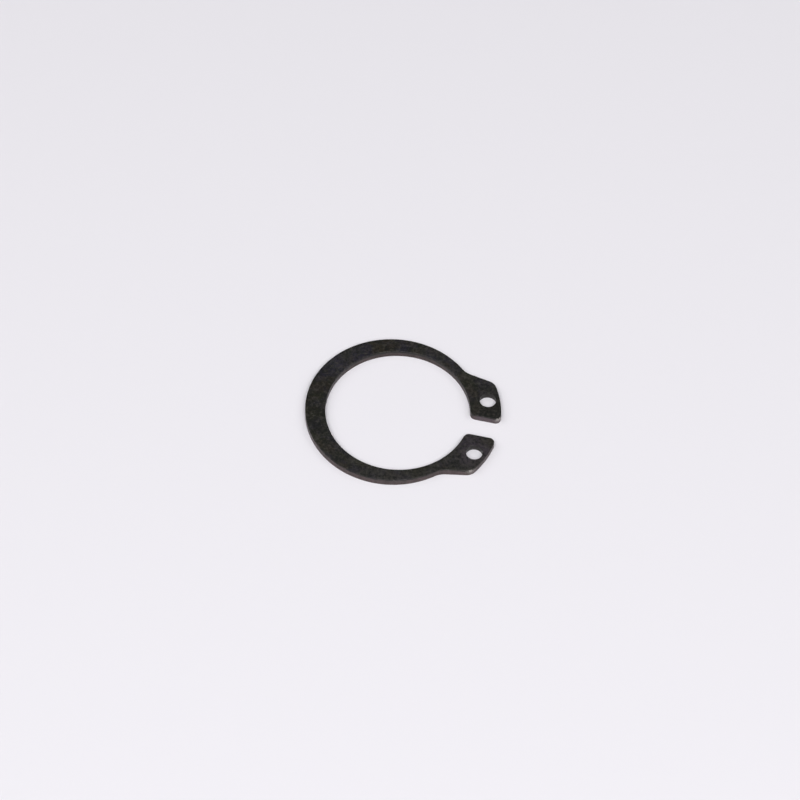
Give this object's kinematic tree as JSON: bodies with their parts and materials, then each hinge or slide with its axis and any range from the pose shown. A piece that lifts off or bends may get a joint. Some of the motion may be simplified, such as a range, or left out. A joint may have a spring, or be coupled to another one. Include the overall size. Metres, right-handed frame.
{
  "type": "circlip retaining ring",
  "caption": "External circlip: an open spring band that tapers towards its gap, with a lug at each end of the gap and a round plier hole through each lug.",
  "frame": {"origin": "centre of the bore, in the plane of the lower flat face", "axes": "+Z along the bore axis, square to the flat faces; +X from the bore's centre out through the middle of the gap; the lugs lie either side of it in +Y and -Y"},
  "size_m": [0.0248, 0.0222, 0.001],
  "materials": {
    "spring_steel": "blackened and lightly oiled, dull on the flat faces, brighter on the sheared walls"
  },
  "bodies": {
    "root": {"ring": "spring_steel"}
  },
  "joints": []
}
